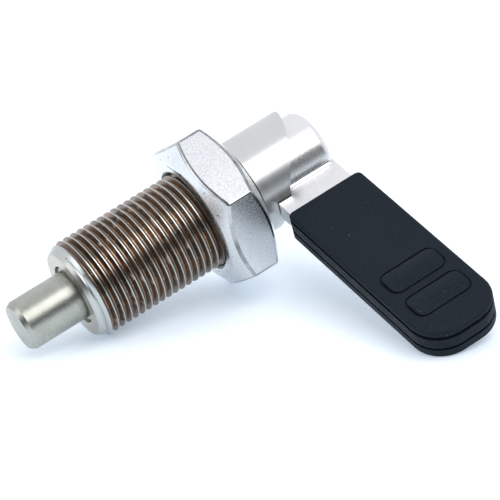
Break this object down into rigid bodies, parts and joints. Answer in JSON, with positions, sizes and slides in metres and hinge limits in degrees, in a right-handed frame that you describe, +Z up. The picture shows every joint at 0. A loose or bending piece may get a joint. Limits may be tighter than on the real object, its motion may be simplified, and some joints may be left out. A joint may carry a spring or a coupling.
{
  "type": "cam-lever indexing plunger",
  "caption": "Threaded indexing plunger whose side lever draws the pin in along a cam as it turns, with a hexagon lock nut and a moulded grip.",
  "frame": {"origin": "centre of the bounding box, on the level surface the part lies on", "axes": "+Z up; the plunger axis lies in the XZ plane and rises towards +X at 13.9 degrees, so the pin points down towards -X; the lever points towards -Y"},
  "size_m": [0.0718, 0.073, 0.0336],
  "materials": {
    "sleeve_steel": "satin",
    "nut_steel": "polished",
    "pin_steel": "fine matte",
    "spring_steel": "drawn wire",
    "dowel_steel": "ground",
    "lever_steel": "satin",
    "grip_plastic": "fine grain"
  },
  "bodies": {
    "guide": {"guide_sleeve": "sleeve_steel"},
    "nut": {"lock_nut": "nut_steel"},
    "spring": {"return_spring": "spring_steel"},
    "lever": {"plunger_pin": "pin_steel", "cross_pin": "dowel_steel", "cam_lever": "lever_steel", "grip_cap": "grip_plastic"}
  },
  "joints": [
    {"name": "nut_travel", "type": "slide", "parent": "guide", "child": "nut", "axis": [0.9705, 0, 0.241], "range_m": [-0.024, 0]},
    {"name": "pin_slide", "type": "slide", "parent": "guide", "child": "spring", "axis": [0.9705, 0, 0.241], "range_m": [0, 0.012], "stiffness_N_per_m": 2500, "springref_m": -0.006, "deforming": ["return_spring"]},
    {"name": "lever_turn", "type": "hinge", "parent": "spring", "child": "lever", "pos_m": [0.02205, 0.02129, 0.02026], "axis": [0.9705, 0, 0.241], "range_deg": [0, 180]}
  ],
  "couplings": [
    {"joint": "lever_turn", "follows": "pin_slide", "rad_per_m": 261.8}
  ]
}
